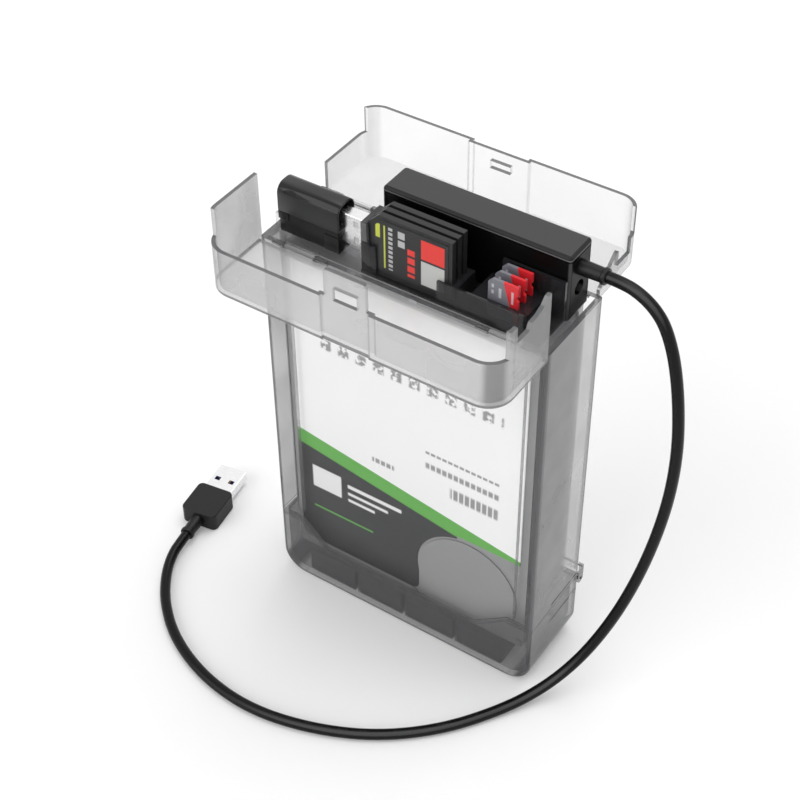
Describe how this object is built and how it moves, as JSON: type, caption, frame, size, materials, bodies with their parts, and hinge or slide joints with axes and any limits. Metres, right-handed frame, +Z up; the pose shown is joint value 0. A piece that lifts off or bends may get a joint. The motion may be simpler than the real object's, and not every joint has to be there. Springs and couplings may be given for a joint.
{
  "type": "hard drive storage case with usb to sata adapter",
  "caption": "Clear upright box for a desktop hard drive, with fold-out lids, a plugged-in USB to SATA adapter with its lead, card rack, memory cards and a memory stick.",
  "frame": {"origin": "centre of the underside of the box and its open lids, on the surface it stands on", "axes": "+X towards the end that the lead leaves from, -Y towards the drive's label, +Z up"},
  "size_m": [0.2016, 0.1315, 0.1893],
  "materials": {
    "clear_plastic": "clear, glossy",
    "smoke_plastic": "smoke, glossy",
    "pin_steel": "bright",
    "pad_rubber": "matte",
    "drive_casting": "cast, satin",
    "drive_cover_metal": "satin",
    "label_paper": "printed, satin",
    "screw_steel": "satin",
    "disc_metal": "polished",
    "board_green": "lacquered",
    "black_plastic": "matte",
    "contact_gold": "bright",
    "adapter_plastic": "satin black",
    "chip_plastic": "matte",
    "cable_jacket": "satin black",
    "relief_rubber": "satin black",
    "plug_rubber": "satin black",
    "plug_steel": "bright, folded sheet",
    "tongue_plastic": "blue",
    "card_plastic": "matte black",
    "card_label": "printed",
    "micro_card_print": "black with a printed face",
    "lock_plastic": "matte",
    "stick_plastic": "black, glossy",
    "white_plastic": "matte"
  },
  "bodies": {
    "case": {"case_body": "clear_plastic", "end_cap_hinge_pin": "pin_steel", "top_deck": "clear_plastic", "card_rack": "smoke_plastic", "front_lid_pins": "pin_steel", "rear_lid_pins": "pin_steel", "drive_base": "drive_casting", "drive_cover": "drive_cover_metal", "drive_label": "label_paper", "drive_cover_screws": "screw_steel", "drive_disc_stack": "disc_metal", "drive_circuit_board": "board_green", "drive_sata_port": "black_plastic", "drive_port_contacts": "contact_gold"},
    "end_cap": {"end_cap": "clear_plastic", "shock_pads": "pad_rubber"},
    "front_lid": {"front_lid": "clear_plastic"},
    "rear_lid": {"rear_lid": "clear_plastic"},
    "adapter": {"adapter_housing": "adapter_plastic", "adapter_top_cover": "adapter_plastic", "adapter_circuit_board": "board_green", "bridge_chip": "chip_plastic", "adapter_board_parts": "chip_plastic", "sata_receptacle": "black_plastic", "dc_jack": "black_plastic", "dc_jack_pin": "contact_gold", "cable_strain_relief": "relief_rubber", "usb_cable": "cable_jacket", "plug_strain_relief": "relief_rubber", "usb_plug_overmould": "plug_rubber", "usb_plug_shell": "plug_steel", "usb_plug_tongue": "tongue_plastic", "usb_plug_contacts": "contact_gold"},
    "memory_stick": {"stick_housing": "stick_plastic", "stick_plug_shell": "plug_steel", "stick_tongue": "white_plastic"},
    "sd_card_1": {"sd_card_1": "card_plastic", "sd_label_1": "card_label"},
    "sd_lock_1": {"sd_lock_1": "lock_plastic"},
    "micro_card_1": {"micro_card_1": "micro_card_print"},
    "sd_card_2": {"sd_card_2": "card_plastic", "sd_label_2": "card_label"},
    "sd_lock_2": {"sd_lock_2": "lock_plastic"},
    "micro_card_2": {"micro_card_2": "micro_card_print"},
    "sd_card_3": {"sd_card_3": "card_plastic", "sd_label_3": "card_label"},
    "sd_lock_3": {"sd_lock_3": "lock_plastic"},
    "micro_card_3": {"micro_card_3": "micro_card_print"}
  },
  "joints": [
    {"name": "front_lid_hinge", "type": "hinge", "parent": "case", "child": "front_lid", "pos_m": [0, -0.01555, 0.162], "axis": [1, 0, 0], "range_deg": [-90, 0]},
    {"name": "rear_lid_hinge", "type": "hinge", "parent": "case", "child": "rear_lid", "pos_m": [0, 0.01705, 0.162], "axis": [-1, 0, 0], "range_deg": [-90, 0]},
    {"name": "end_cap_hinge", "type": "hinge", "parent": "case", "child": "end_cap", "pos_m": [0, 0.02035, 0.0255], "axis": [1, 0, 0], "range_deg": [0, 100]},
    {"name": "adapter_slide", "type": "slide", "parent": "case", "child": "adapter", "axis": [0, 0, 1], "range_m": [0, 0.03]},
    {"name": "memory_stick_slide", "type": "slide", "parent": "case", "child": "memory_stick", "axis": [0, 0, 1], "range_m": [0, 0.03]},
    {"name": "sd_card_1_slide", "type": "slide", "parent": "case", "child": "sd_card_1", "axis": [0, 0, 1], "range_m": [0, 0.026]},
    {"name": "sd_lock_1_slide", "type": "slide", "parent": "sd_card_1", "child": "sd_lock_1", "axis": [1, 0, 0], "range_m": [0, 0.0016]},
    {"name": "micro_card_1_slide", "type": "slide", "parent": "case", "child": "micro_card_1", "axis": [0, 0, 1], "range_m": [0, 0.018]},
    {"name": "sd_card_2_slide", "type": "slide", "parent": "case", "child": "sd_card_2", "axis": [0, 0, 1], "range_m": [0, 0.026]},
    {"name": "sd_lock_2_slide", "type": "slide", "parent": "sd_card_2", "child": "sd_lock_2", "axis": [1, 0, 0], "range_m": [0, 0.0016]},
    {"name": "micro_card_2_slide", "type": "slide", "parent": "case", "child": "micro_card_2", "axis": [0, 0, 1], "range_m": [0, 0.018]},
    {"name": "sd_card_3_slide", "type": "slide", "parent": "case", "child": "sd_card_3", "axis": [0, 0, 1], "range_m": [0, 0.026]},
    {"name": "sd_lock_3_slide", "type": "slide", "parent": "sd_card_3", "child": "sd_lock_3", "axis": [1, 0, 0], "range_m": [0, 0.0016]},
    {"name": "micro_card_3_slide", "type": "slide", "parent": "case", "child": "micro_card_3", "axis": [0, 0, 1], "range_m": [0, 0.018]}
  ]
}
